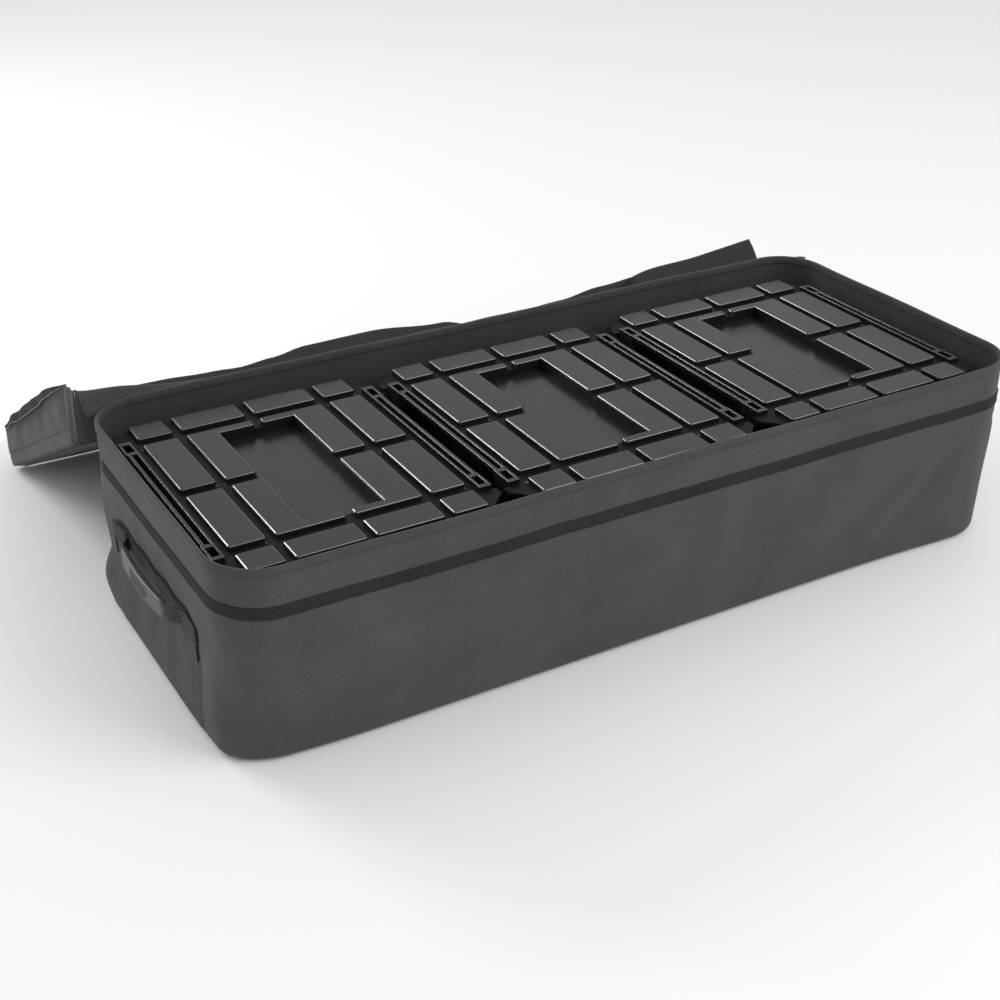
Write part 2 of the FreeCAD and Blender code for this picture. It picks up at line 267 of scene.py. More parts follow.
# Moulded rubber, sheet plastic or thread with a fine grain.
def plainMoulding(name, colours, roughness, grainSize):
    material, tree = newMaterial(name)
    place = addNode(tree, "ShaderNodeTexCoord").outputs["Object"]
    grain = noise(tree, place, scale=1 / grainSize, detail=2.0)
    tone = noise(tree, place, scale=60.0, detail=3.0)
    shader = addNode(tree, "ShaderNodeBsdfPrincipled", inputs={
        "Base Color": mixColours(tree, tone, *colours), "Roughness": roughness, "IOR": 1.5,
        "Normal": bumped(tree, grain, strength=0.3, distance=grainSize / 2)})
    closeMaterial(tree, shader)
    return material


plastic = polypropylene("blackPolypropyleneMoulded", "#1b1c1d", "#3c3d3f", 0.3, 0.28, 0.5)
# Channels and the blocks' sides: a matt finish, with a darker colour that is painted shade for the shadow in
# the channels.
shadedMattPlastic = polypropylene("blackPolypropyleneMattPaintedShade", "#111112", "#1b1b1c", 0.2, 0.6, 0.2)
polishedPlastic = polypropylene("blackPolypropylenePolished", "#1b1c1d", "#3c3d3f", 0.1, 0.2, 1.0)
bagCloth = wovenCloth("charcoalPolyesterWoven", "#545352", "#424141", 0.0009, 0.3, 0.08)
liningCloth = wovenCloth("charcoalPolyesterCoatedInside", "#4a4949", "#3b3a3a", 0.0009, 0.12, 0.04)
bindingTape = wovenCloth("bindingTapeGrosgrain", "#4f4e4e", "#403f3f", 0.0011, 0.35, 0.1)
hookTape = wovenCloth("closureTapeHooked", "#332f2f", "#242121", 0.0009, 0.25, 0.0)
patchCloth = wovenCloth("charcoalPolyesterPatch", "#504e4c", "#3f3d3c", 0.0009, 0.3, 0.06)
# Hem tape: dark, painted shade for the shadow along the handle patch's edge.
shadedHemTape = wovenCloth("darkHemTapePaintedShade", "#2a2727", "#1f1d1d", 0.0012, 0.4, 0.0)
# Edge cord: light grey, a painted highlight along the lit edge of the lid's cuff.
highlightEdgeTape = wovenCloth("edgeTapePaintedHighlight", "#807d7a", "#686664", 0.0012, 0.4, 0.05)
webbing = wovenCloth("polypropyleneWebbing", "#4b4643", "#393532", 0.0014, 0.4, 0.05)
thread = plainMoulding("polyesterThread", ("#2f2e2e", "#3a3939"), 0.75, 0.0006)
gripRubber = plainMoulding("thermoplasticRubberMoulded", ("#3f3c38", "#4a4642"), 0.34, 0.0007)
boardPlastic = plainMoulding("polyethyleneBoardExtruded", ("#202122", "#262728"), 0.5, 0.0008)
print("materials ready")


# Moulded mats: the CAD panels with moulding radii, the tread's blocks rounded most.
# Angles below the flat one are joined; edges above the bent one are rounded, above the sharp one kept sharp.
moulding = {
    "block": 2.3 * mm, "rail": 0.45 * mm, "railDrop": 0.5 * mm, "segments": 4,
    "pitch": 36.9 * mm, "thick": 36.6 * mm, "panels": 5,
    "skin": (0, 0.5 * mm, 12.5 * mm),   # depths below the tread of what is smooth
    "flat": math.radians(1), "bent": math.radians(40), "sharp": math.radians(38),
}


# Body, slot (not used) and the CAD nodes that a piece stands for.
def finishPiece(piece, body, slot, *stoodFor):
    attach(piece, body)
    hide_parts(*stoodFor)


# Height of a panel's tread: odd ones face up, even ones face down.
def treadHeight(letter, number):
    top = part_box("mat_%s_panel_%d" % (letter, moulding["panels"]))[1].z
    turnedOver = moulding["thick"] if number % 2 == 0 else 0
    return top - (moulding["panels"] - number) * moulding["pitch"] - turnedOver


# Rounds the convex edges that touch the level at a distance, drop, from the tread.
def roundEdges(shape, tread, drop, radius):
    def onRim(vert):
        return abs(abs(vert.co.z - tread) - drop) < 0.1 * mm

    edges = [e for e in shape.edges if e.is_convex and e.calc_face_angle(0) > moulding["bent"]
             and (onRim(e.verts[0]) or onRim(e.verts[1]))]
    bmesh.ops.bevel(shape, geom=edges, offset=radius, offset_type="OFFSET", segments=moulding["segments"],
                    profile=0.5, affect="EDGES", clamp_overlap=False, material=2)


# A joined copy of the panel: loose triangles become whole faces, then blocks and rails are rounded.
# Blocks, rails and the recess have the smooth skin, the rounded edges are polished, the rest is matt and
# painted darker, as painted shade in the channels and on the blocks' sides.
def mouldPanel(name, node, tread):
    shape = bmesh.new()
    shape.from_mesh(node.data)
    shape.transform(node.matrix_world)
    bmesh.ops.remove_doubles(shape, verts=shape.verts, dist=0.01 * mm)
    bmesh.ops.dissolve_limit(shape, angle_limit=moulding["flat"], verts=shape.verts, edges=shape.edges)
    for face in shape.faces:
        depth = abs(face.calc_center_median().z - tread)
        nearest = min(abs(depth - level) for level in moulding["skin"])
        face.material_index = 0 if abs(face.normal.z) > 0.99 and nearest < 0.2 * mm else 1
    roundEdges(shape, tread, 0, moulding["block"])
    roundEdges(shape, tread, moulding["railDrop"], moulding["rail"])
    for face in shape.faces:
        face.smooth = True
    for edge in shape.edges:
        edge.smooth = edge.calc_face_angle(0) < moulding["sharp"]
    mesh = bpy.data.meshes.new(name + "_moulding")
    shape.to_mesh(mesh)
    shape.free()
    for material in (plastic, shadedMattPlastic, polishedPlastic):
        mesh.materials.append(material)
    piece = bpy.data.objects.new(name + "_moulding", mesh)
    bpy.context.scene.collection.objects.link(piece)
    normals = piece.modifiers.new("even shading", "WEIGHTED_NORMAL")
    normals.keep_sharp = True
    normals.weight = 100
    finishPiece(piece, node["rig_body"], "mat_plastic", name)


for letter in "abc":
    for number in range(1, moulding["panels"] + 1):
        name = "mat_%s_panel_%d" % (letter, number)
        mouldPanel(name, nodes[name], treadHeight(letter, number))
print("mats finished")


# Cloth as grids of points.
def smooth(t):  # 3t^2 - 2t^3, from 0 to 1
    t = np.clip(t, 0, 1)
    return t * t * (3 - 2 * t)


def wave(turns):  # from 0 to 1 and back in each whole turn
    return 0.5 + 0.5 * np.sin(2 * math.pi * turns)


def hump(x, centre, width):  # bell curve exp(-((x - centre) / width)^2)
    return np.exp(-((x - centre) / width) ** 2)


def asPoints(x, y, z):  # coordinates side by side
    return np.stack(np.broadcast_arrays(x, y, z), -1)


def unit(v):  # v over its length
    return v / np.linalg.norm(v, axis=-1, keepdims=True)


def lengthAlong(line):  # distance walked along a row of points
    steps = np.linalg.norm(np.diff(line, axis=0), axis=1)
    return np.concatenate([[0], np.cumsum(steps)])


# A smooth mesh with its map "cloth" and first material.
def addPiece(name, verts, faces, uv, material):
    mesh = bpy.data.meshes.new(name)
    mesh.from_pydata(verts.tolist(), [], faces)
    mesh.uv_layers.new(name="cloth").data.foreach_set("uv", uv.ravel())
    mesh.polygons.foreach_set("use_smooth", np.ones(len(faces), bool))
    mesh.materials.append(material)
    piece = bpy.data.objects.new(name, mesh)
    bpy.context.scene.collection.objects.link(piece)
    return piece


# Quads between neighbours of a (rows, columns, 3) grid; closed joins the last column to the first.
# The faces look to the right of a row, seen with the next rows upwards; flip turns them round.
# The map "cloth" gives distance in metres along the middle row and up the middle column.
def gridPiece(name, grid, material, closed=False, flip=False):
    rows, columns = grid.shape[:2]
    r, c = np.meshgrid(np.arange(rows - 1), np.arange(columns if closed else columns - 1), indexing="ij")
    corners = [(r, c), (r, c + 1), (r + 1, c + 1), (r + 1, c)]
    if flip:
        corners.reverse()
    faces = np.stack([row * columns + column % columns for row, column in corners], -1)
    ring = np.concatenate([grid, grid[:, :1]], 1) if closed else grid
    u, v = lengthAlong(ring[rows // 2]), lengthAlong(grid[:, columns // 2])
    uv = np.stack([np.stack([u[column], v[row]], -1) for row, column in corners], 2)
    return addPiece(name, grid.reshape(-1, 3), faces.reshape(-1, 4).tolist(), uv, material)


def closePoles(piece):  # points that fell together become one
    shape = bmesh.new()
    shape.from_mesh(piece.data)
    bmesh.ops.remove_doubles(shape, verts=shape.verts, dist=0.002 * mm)
    shape.to_mesh(piece.data)
    shape.free()


def thicken(piece, thickness, side):  # side 1 grows along the faces' normals, -1 against them, 0 both ways
    solid = piece.modifiers.new("thickness", "SOLIDIFY")
    solid.thickness = thickness
    solid.offset = side
    return solid


def softenEdges(piece, width):  # rounds what bends by more than 50 degrees
    bevel = piece.modifiers.new("soft edges", "BEVEL")
    bevel.width = width
    bevel.segments = 2
    bevel.limit_method = "ANGLE"
    bevel.angle_limit = math.radians(50)


# Round cord along a line: each point plus radius * (cos t across + sin t up), tapering to its ends.
def makeCord(name, line, radius, material):
    ahead = unit(np.gradient(line, axis=0))
    across = unit(np.cross(ahead, (0.1, 0.2, 1.0)))
    up = np.cross(across, ahead)
    turn = np.radians(np.arange(8) * 45)[None, :, None]
    full = np.full(len(line), radius)
    full[0] = full[-1] = 0
    ring = across[:, None] * np.cos(turn) + up[:, None] * np.sin(turn)
    piece = gridPiece(name, line[:, None] + full[:, None, None] * ring, material, closed=True)
    closePoles(piece)
    return piece


# Each stitch is a spindle of five-sided rings, widest in the middle, with its ends down in the cloth.
stitch = {"length": 3.0 * mm, "pitch": 4.4 * mm, "width": 0.6 * mm, "arch": 1.6}


# Points of a stitch: at * length ahead, wide * sin t across and wide * cos t plus an arch outwards, where
# the arch is as (0.25 - at^2).
def makeStitches(name, centres, ahead, out):
    at = np.array([-0.5, -0.3, 0, 0.3, 0.5])
    wide = np.array([0, 0.42, 0.5, 0.42, 0]) * stitch["width"]
    lift = (0.25 - at**2) * stitch["arch"] * stitch["width"]
    turn = np.radians(np.arange(5) * 72)
    across = np.cross(out, ahead)
    lengths = np.repeat(at * stitch["length"], 5)
    sides = np.outer(wide, np.sin(turn)).ravel()
    heights = (lift[:, None] + np.outer(wide, np.cos(turn))).ravel()
    verts = (centres[:, None] + lengths[:, None] * ahead[:, None] + sides[:, None] * across[:, None]
             + heights[:, None] * out[:, None])
    r, c = np.meshgrid(np.arange(4), np.arange(5), indexing="ij")
    corners = [(r, c), (r, c + 1), (r + 1, c + 1), (r + 1, c)]
    quad = np.stack([row * 5 + column % 5 for row, column in corners], -1).reshape(-1, 4)
    faces = (quad[None] + 25 * np.arange(len(centres))[:, None, None]).reshape(-1, 4)
    piece = addPiece(name, verts.reshape(-1, 3), faces.tolist(), np.zeros((len(faces) * 4, 2)), thread)
    closePoles(piece)
    return piece


# Stitches at an even pitch on a surface: place(t) and the outward direction there, for t along the seam.
def sewAlong(name, place, start, end, body, out):
    count = max(2, int((end - start) / stitch["pitch"]))
    t = start + (np.arange(count) + 0.5) * (end - start) / count
    here = place(t)
    ahead = unit(place(t + 0.5 * mm) - place(t - 0.5 * mm))
    piece = makeStitches(name, here, ahead, out(t))
    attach(piece, body)
    return piece


# Bag: its walls as one sheet of cloth, tapered, creased and bulging a little.
bag = {
    "cornerRadius": 50 * mm,
    "cloth": 2.0 * mm, "floorCloth": 1.2 * mm, "rimGap": 1.2 * mm,
    "lean": 11.5 * mm, "leanFrom": 15 * mm, "leanTop": 150 * mm,   # the long walls lean in at the foot
    "foot": 11 * mm,                          # rounding of the bottom edge
    "uprightReach": 90 * mm,                  # round the front right corner they lean in half as much
    "flare": 4 * mm, "flareTop": 80 * mm, "flareFade": 65 * mm,    # the left end spreads at the foot
    "tuck": 5 * mm, "tuckReach": 60 * mm,     # the front left corner draws in at the foot
    "longFold": 1.5 * mm, "shortFold": 0.6 * mm, "endFold": 1.4 * mm, "foldTop": 42 * mm,
    "cornerReach": 48 * mm, "creaseFrom": 15 * mm, "creaseTop": 0.135, "creaseFade": 0.03,
    "seam": 1.5 * mm, "seamHeight": 137 * mm, "seamWidth": 5 * mm,
    "dip": 1.6 * mm, "dipFrom": 0.12, "dipOver": 0.08,    # the rim sags, and the cloth below with it
    "grid": 6 * mm, "wallRows": 34, "footRows": 10,
    "flat": (0.78, 1.28), "flatArea": 0.81,   # floor with its four walls folded down, without the corners
}
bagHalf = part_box("bag_wall")[1]
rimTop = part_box("rim_binding")[1].z
girth = 4 * (bagHalf.x + bagHalf.y - 2 * bag["cornerRadius"]) + 2 * math.pi * bag["cornerRadius"]

# Distances round the bag from the middle of its back, anticlockwise.
backLeft = bagHalf.x - 15 * mm
frontLeft = 0.25 * girth + bagHalf.y
frontRight = 0.75 * girth - bagHalf.y

# Slanting creases on the front. Each passes a place at a height and leans by a slope; its hollows and
# ridges are (depth inwards, offset, width) across it, in millimetres.
creases = [
    {"place": frontLeft, "height": 100 * mm, "slope": -0.35,
     "across": [(2.6, -4, 9), (-1.8, 16, 10)]},
    {"place": frontRight - 40 * mm, "height": 140 * mm, "slope": 0.9,
     "across": [(2.6, 0, 14), (-1.8, -34, 22)]},
]


# Rounded rectangle, anticlockwise from the middle of the back: a centre that runs along the straight
# sides, plus the radius in a direction that turns at the corners. Gives x, y and that direction.
def outline(halfLength, halfDepth, radius, s):
    a, b, quarter = halfLength - radius, halfDepth - radius, radius * math.pi / 2
    at = np.cumsum([0, a, quarter, 2 * b, quarter, 2 * a, quarter, 2 * b, quarter, a])
    s = s % at[-1]
    x = np.interp(s, at, [0, -a, -a, -a, -a, a, a, a, a, 0])
    y = np.interp(s, at, [b, b, b, -b, -b, -b, -b, b, b, b])
    turn = np.radians(np.interp(s, at, [90, 90, 180, 180, 270, 270, 360, 360, 450, 450]))
    nx, ny = np.cos(turn), np.sin(turn)
    return x + radius * nx, y + radius * ny, nx, ny


# Long walls: two waves along the wall that lean with height. Ends: one of upright folds.
# Both fade out at the foot and below the closure band.
def foldDepth(x, y, z, longSide, shortSide):
    sway = bag["longFold"] * wave(x / 0.29 + z / 0.31 + 0.1)
    sway = sway + bag["shortFold"] * wave(x / 0.117 - z / 0.19 + 0.3 * np.sin(x / 0.08))
    ends = bag["endFold"] * wave(y / 0.054 + 0.25 * np.sin(z / 0.035) + 0.4)
    fade = smooth(z / 0.05) * smooth((rimTop - bag["foldTop"] - z) / 0.05)
    return (longSide * sway + shortSide * ends) * fade


# Back left corner: a bulge near the floor, a belly higher up and a crease between them, each as
# (depth outwards, height, width) in millimetres.
cornerShape = [(13, 38, 24), (4, 118, 26), (-3, 70, 8)]


def cornerDepth(s, z):  # sum of their bell curves, faded along the wall by another
    profile = sum(deep * mm * hump(z, height * mm, width * mm) for deep, height, width in cornerShape)
    return hump(s, backLeft, bag["cornerReach"]) * profile


# Sum of the creases' bell curves, faded out at the foot and at the top.
def creaseDepth(s, z):
    depth = 0
    for crease in creases:
        across = s - crease["place"] + crease["slope"] * (crease["height"] - z)
        for deep, offset, width in crease["across"]:
            depth = depth + deep * mm * hump(across, offset * mm, width * mm)
    fade = bag["creaseFade"]
    return depth * smooth((z - bag["creaseFrom"]) / fade) * smooth((bag["creaseTop"] - z) / fade)


# Outer face of the bag, s round it and z up: the outline, moved outwards by folds, corner, flare and
# proud, and inwards by creases, seam, tuck, lean and the rounded foot. Folds only swell, so that the
# mats keep their room inside. The front right corner leans half as much. The rim dips in two waves.
def wall(s, z, proud=0.0):
    x, y, nx, ny = outline(bagHalf.x, bagHalf.y, bag["cornerRadius"], s)
    longSide, shortSide = np.abs(ny), np.abs(nx)
    upright = 1 - 0.5 * hump(s, frontRight, bag["uprightReach"])
    tilt = smooth((bag["leanTop"] - z) / (bag["leanTop"] - bag["leanFrom"]))
    lean = bag["lean"] * longSide * upright * tilt
    flare = bag["flare"] * np.clip(-nx, 0, 1)**6 * smooth((bag["flareTop"] - z) / bag["flareFade"])
    below = np.clip(bag["foot"] - z, 0, bag["foot"])
    foot = bag["foot"] - np.sqrt(bag["foot"]**2 - below**2)
    seam = bag["seam"] * hump(z, bag["seamHeight"], bag["seamWidth"]) * np.clip(-ny, 0, 1)
    reach = bag["tuckReach"]
    tuck = bag["tuck"] * hump(s, frontLeft, reach) * smooth((reach - z) / reach)
    outwards = foldDepth(x, y, z, longSide, shortSide) + cornerDepth(s, z) + flare + proud
    d = outwards - creaseDepth(s, z) - seam - tuck - lean - foot
    around = s / girth
    dip = bag["dip"] * (0.6 * wave(5 * around + 0.2) + 0.4 * wave(13 * around))
    return asPoints(x + nx * d, y + ny * d, z - dip * smooth((z - bag["dipFrom"]) / bag["dipOver"]))


def wallOut(s):  # outward direction of the wall at s
    nx, ny = outline(bagHalf.x, bagHalf.y, bag["cornerRadius"], s)[2:]
    return asPoints(nx, ny, 0.0)


# Rows from the rim down: upright wall, quarter round, then the floor drawn in to its middle line.
def makeBag():
    count = 2 * round(girth / bag["grid"] / 2)
    s = np.arange(count) * girth / count
    upright = np.linspace(rimTop - bag["rimGap"], bag["foot"], bag["wallRows"])
    rounding = bag["foot"] * (1 - np.sin(np.linspace(0, math.pi / 2, bag["footRows"])[1:]))
    z = np.concatenate([upright, rounding])
    shell = wall(s[None], z[:, None])
    edge = shell[-1]
    straight = bagHalf.x - bagHalf.y
    x = outline(bagHalf.x, bagHalf.y, bag["cornerRadius"], s)[0]
    spine = asPoints(np.clip(x, -straight, straight), 0.0, 0.0)
    share = np.array([0.1, 0.3, 0.65, 1.0])[:, None, None]
    floor = edge + (spine - edge) * share
    piece = gridPiece("bag_body", np.concatenate([shell, floor]), bagCloth, closed=True, flip=True)
    group = piece.vertex_groups.new(name="wall")
    group.add(list(range(count * len(z))), 1.0, "REPLACE")
    solid = thicken(piece, bag["cloth"], -1)
    solid.vertex_group = "wall"
    solid.thickness_vertex_group = bag["floorCloth"] / bag["cloth"]
    closePoles(piece)
    piece.data.materials.append(liningCloth)
    solid.material_offset = 1
    finishPiece(piece, "bag", "woven_cloth", "bag_wall", "bag_floor")


# Tape folded over the rim: out from the wall and down from the top, round the fold.
binding = {"height": 9 * mm, "tape": 0.8 * mm, "width": 23 * mm, "seam": 2.2 * mm, "proud": 0.95 * mm}


# Rows over the rim, each at its distance out of the wall and down from the top.
def makeBinding():
    tall = binding["height"]
    out = np.array([0.5, 0.95, 1.0, 0.95, 0.55, -0.25, -1.2, -2.1, -2.75, -3.0, -3.0, -3.0, -2.6]) * mm
    down = np.array([tall, tall - 0.5 * mm, tall * 0.55, 2.6 * mm, 0.9 * mm, 0.15 * mm, 0, 0.2 * mm, 1.0 * mm,
                     2.6 * mm, tall * 0.55, tall - 0.5 * mm, tall])
    count = round(girth / bag["grid"])
    s = np.arange(count) * girth / count
    grid = wall(s[None], (rimTop - down)[:, None], out[:, None])
    piece = gridPiece("rim_binding_tape", grid, bindingTape, closed=True)
    thicken(piece, binding["tape"], -1)
    level = rimTop - tall + binding["seam"]
    seam = sewAlong("rim_binding_stitches", lambda t: wall(t, level, binding["proud"]),
                    0, girth, "bag", wallOut)
    finishPiece(piece, "bag", "binding_tape", "rim_binding")


# Hook tape round both ends and the front: a flat strip with eased edges, on the wall.
band = {
    "thick": 1.0 * mm, "tape": 0.9 * mm, "wander": 0.9 * mm, "step": 5 * mm,
    "seam": 1.3 * mm, "seamEnd": 3 * mm,
}


# Rows up the band; its height wanders in two waves, and its seams with it.
def makeBand():
    lo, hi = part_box("closure_band")
    start = bagHalf.x - bag["cornerRadius"] * (1 - math.pi / 2)
    s = np.linspace(start, girth - start, round((girth - 2 * start) / band["step"]))
    up = np.array([0, 0.06, 0.3, 0.5, 0.7, 0.94, 1])
    proud = np.array([0.35, 0.95, 1.0, 1.0, 1.0, 0.95, 0.35]) * band["thick"]

    def height(t):
        return band["wander"] * (wave(7 * t / girth) - 0.5 + 0.4 * wave(23 * t / girth))

    z = lo.z + up[:, None] * (hi.z - lo.z) + height(s)[None]
    piece = gridPiece("closure_tape", wall(s[None], z, proud[:, None]), hookTape)
    thicken(piece, band["tape"], -1)
    seams = [
        sewAlong("closure_stitches_" + name, lambda t: wall(t, level + height(t), band["thick"]),
                 s[0] + band["seamEnd"], s[-1] - band["seamEnd"], "bag", wallOut)
        for name, level in (("lower", lo.z + band["seam"]), ("upper", hi.z - band["seam"]))
    ]
    finishPiece(piece, "bag", "closure_tape", "closure_band")


makeBag()
makeBinding()
makeBand()
print("bag finished")


# Board in the bag's floor, inside its rounded foot, with slightly eased edges.
board = {
    "halfLength": 418 * mm, "halfDepth": 154.5 * mm, "radius": 38 * mm,
    "under": 2.1 * mm, "ease": 0.5 * mm,
}


# Rows from the middle line below, out round the edge, and back to the middle line above.
def makeBaseBoard():
    a, b, ease = board["halfLength"], board["halfDepth"], board["ease"]
    run = 4 * (a + b - 2 * board["radius"]) + 2 * math.pi * board["radius"]
    x, y = outline(a, b, board["radius"], np.linspace(0, run, 240, endpoint=False))[:2]
    under, top = board["under"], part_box("base_board")[1].z
    inset = np.array([1, 0.02, 0, 0, 0.02, 1])[:, None]
    spineX = np.clip(x, b - a, a - b)
    z = np.array([under, under, under + ease, top - ease, top, top])[:, None]
    grid = asPoints(x + (spineX - x) * inset, y * (1 - inset), z)
    piece = gridPiece("base_board_sheet", grid, boardPlastic, closed=True)
    closePoles(piece)
    finishPiece(piece, "bag", "base_plastic", "base_board")


makeBaseBoard()


# Handles: a patch on each end, a grip, and webbing from the grip to two tabs.
handle = {
    "patchRadius": 26 * mm, "patchThick": 1.0 * mm, "patchEase": 5 * mm, "patchCloth": 0.9 * mm,
    "hemWidth": 2.2 * mm, "hemProud": 0.7 * mm, "hemDown": 14 * mm, "shadedHemTape": 0.7 * mm,
    "ribs": 7, "ribPitch": 5.6 * mm, "ribHeight": 1.7 * mm, "hollow": 1.0 * mm,
    "sagitta": 3.5 * mm, "gripThick": 7.0 * mm, "lip": 1.1 * mm, "lipWidth": 1.5 * mm,
    "webbing": 1.7 * mm, "webbingEdge": 0.4 * mm, "underTab": 6 * mm, "intoGrip": 4 * mm,
    "strapGap": 1.0 * mm, "strapCurl": 0.5 * mm, "tabWebbing": 1.8 * mm,
    "boxInset": 2.6 * mm, "boxPitch": 3.6 * mm,
}
sides = {"left": -1, "right": 1}


# Distance round the bag of a place on one of its ends, counted along Y.
def endRun(side, y):
    return girth * (0.5 + 0.25 * side) + side * y


# Reinforcement: columns across, each as tall as the rounded top corners leave it.
def makePatch(name, side):
    lo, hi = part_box("handle_patch_right")
    half, middle, radius = (hi.y - lo.y) / 2, (hi.y + lo.y) / 2, handle["patchRadius"]
    across = half * np.sin(np.linspace(-math.pi / 2, math.pi / 2, 61))
    beyond = np.clip(np.abs(across) - half + radius, 0, radius)
    top = hi.z - radius + np.sqrt(radius**2 - beyond**2)
    share = np.linspace(0, 1, 25)[:, None]
    eased = smooth((half - np.abs(across)) / handle["patchEase"]) * smooth(share / 0.05)
    grid = wall(endRun(side, middle + side * across)[None], lo.z + share * (top - lo.z),
                handle["patchThick"] * (0.25 + 0.75 * eased))
    piece = gridPiece("handle_patch_cloth_" + name, grid, patchCloth)
    thicken(piece, handle["patchCloth"], -1)

    # The hem follows a rounded rectangle, of which it has only the top and the upper corners. Its dark tape
    # is painted shade along the patch's raised edge.
    def edge(t, inset, proud):
        x, z = outline(half - inset, hi.z - inset, radius - inset, t)[:2]
        return wall(endRun(side, middle - x), np.maximum(z, lo.z), handle["patchThick"] + proud)

    reach = half - radius + radius * math.pi / 2 + handle["hemDown"]
    t = np.linspace(-reach, reach, 180)
    width, crown = handle["hemWidth"], handle["hemProud"]
    rows = [edge(t, inset * width, rise * crown) for inset, rise in
            ((-0.05, 0), (0, 0.6), (0.2, 1), (0.5, 1.05), (0.8, 1), (1, 0.6), (1.05, 0))]
    hem = gridPiece("handle_patch_shaded_hem_" + name, np.stack(rows), shadedHemTape, flip=side < 0)
    thicken(hem, handle["shadedHemTape"], -1)
    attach(hem, "bag")
    finishPiece(piece, "bag", "patch_cloth", "handle_patch_" + name)


def rounded(value, power):  # pulls a sine or cosine towards a rounded box
    return np.sign(value) * np.abs(value) ** power


# Grip: a rounded-box section along a bow, sagitta * (1 - (y / half)^2), with ribs across the middle
# of its hollowed outer face and a raised lower edge.
def makeGrip(name, side):
    lo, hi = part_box("grip_right")
    half, tall = hi.y, hi.z - lo.z
    y = half * np.sin(np.linspace(-math.pi / 2, math.pi / 2, 181))[:, None]
    turn = np.linspace(0, 2 * math.pi, 44, endpoint=False)[None]
    share = np.abs(y) / half
    ends = np.sqrt(np.clip(1 - share**40, 0, 1)) * (0.8 + 0.2 * smooth((1 - share) / 0.12))
    up = tall / 2 * rounded(np.sin(turn), 0.45) * ends
    out = handle["gripThick"] / 2 * rounded(np.cos(turn), 0.5) * ends
    face = np.clip(np.cos(turn), 0, 1) ** 0.4
    span = handle["ribs"] * handle["ribPitch"] / 2
    ribs = wave(y / handle["ribPitch"] + 0.25) ** 1.5 * smooth((span - np.abs(y)) / (2 * mm))
    ribs = ribs * smooth((0.36 * tall - np.abs(up)) / (1.5 * mm))
    hollow = smooth((0.3 * tall - np.abs(up)) / (3 * mm)) * smooth((half * 0.94 - np.abs(y)) / (5 * mm))
    lip = handle["lip"] * hump(up, -tall / 2 + handle["lipWidth"] * 0.6, handle["lipWidth"])
    out = out + face * ends * (handle["ribHeight"] * ribs + lip - handle["hollow"] * hollow)
    bow = handle["sagitta"] * (1 - share**2)
    x = lo.x + handle["gripThick"] / 2 + bow + out
    grid = asPoints(side * x, y, (lo.z + hi.z) / 2 + up)
    piece = gridPiece("grip_moulding_" + name, grid, gripRubber, closed=True, flip=side > 0)
    closePoles(piece)
    finishPiece(piece, "handle_" + name, "grip_rubber", "grip_" + name)


# Strap end: webbing in an S from under its tab into the grip's end.
def makeStrap(name, side, end, position):
    lo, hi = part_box("handle_strap_%s_right" % position)
    near, far = sorted((abs(lo.y), abs(hi.y)))
    t = np.linspace(0, 1, 28)[None]
    first, last = far + handle["underTab"], near - handle["intoGrip"]
    y = first + (last - first) * t
    start = bagHalf.x + handle["patchThick"] + handle["strapGap"]
    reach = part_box("grip_right")[0].x + handle["gripThick"] / 2 - start
    curl = np.linspace(-1, 1, 9)[:, None]
    x = start + reach * smooth((t - 0.18) / 0.62) - handle["strapCurl"] * curl**2
    z = (lo.z + hi.z) / 2 + curl * (hi.z - lo.z) / 2
    grid = asPoints(side * x, end * y, z)
    piece = gridPiece("strap_%s_%s" % (position, name), grid, webbing)
    thicken(piece, handle["webbing"], 0)
    softenEdges(piece, handle["webbingEdge"])
    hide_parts("handle_strap_%s_%s" % (position, name))
    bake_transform(piece)


# Tab: two layers of webbing sewn down with a box of stitches and a cross.
def makeTab(name, side, end, position):
    lo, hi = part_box("handle_tab_%s_right" % position)
    near, far = sorted((abs(lo.y), abs(hi.y)))
    across = np.linspace(near, far, 23)
    rise = np.array([0.3, 0.9, 1, 1, 1, 1, 1, 0.9, 0.3])
    up = np.array([0, 0.03, 0.12, 0.3, 0.5, 0.7, 0.88, 0.97, 1])[:, None]
    eased = smooth((across - near + 0.3 * mm) / (1.2 * mm)) * smooth((far - across + 0.3 * mm) / (1.2 * mm))
    proud = handle["patchThick"] + 0.3 * mm + (hi.x - lo.x - 0.4 * mm) * rise[:, None] * (0.4 + 0.6 * eased)
    grid = wall(endRun(side, end * across), lo.z + up * (hi.z - lo.z), proud)
    piece = gridPiece("tab_%s_%s" % (position, name), grid, webbing, flip=side * end < 0)
    thicken(piece, handle["tabWebbing"], -1)
    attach(piece, "bag")
    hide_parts("handle_tab_%s_%s" % (position, name))
    inset = handle["boxInset"]
    inner, outer, bottom, top = near + inset, far - inset, lo.z + inset, hi.z - inset
    box = np.array([(inner, bottom), (outer, bottom), (outer, top), (inner, top)])
    runs = [(box[i], box[(i + 1) % 4]) for i in range(4)] + [(box[0], box[2]), (box[1], box[3])]
    surface = handle["patchThick"] + (hi.x - lo.x) - 0.2 * mm
    centres, ahead = [], []
    for a, b in runs:
        count = max(3, int(np.linalg.norm(b - a) / handle["boxPitch"]))
        share = (np.arange(count)[:, None] + 0.5) / count
        at, step = a + (b - a) * share, (b - a) / np.linalg.norm(b - a)
        centres.append(wall(endRun(side, end * at[:, 0]), at[:, 1], surface))
        ahead.append(np.tile(unit(np.array([0.0, end * step[0], step[1]])), (count, 1)))
    centres, ahead = np.concatenate(centres), np.concatenate(ahead)
    out = np.tile(np.array([float(side), 0, 0]), (len(centres), 1))
    seam = makeStitches("tab_stitches_%s_%s" % (position, name), centres, ahead, out)
    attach(seam, "bag")


for name, side in sides.items():
    makePatch(name, side)
    makeGrip(name, side)
    for position, end in (("front", -1), ("back", 1)):
        makeStrap(name, side, end, position)
        makeTab(name, side, end, position)
print("handles finished")


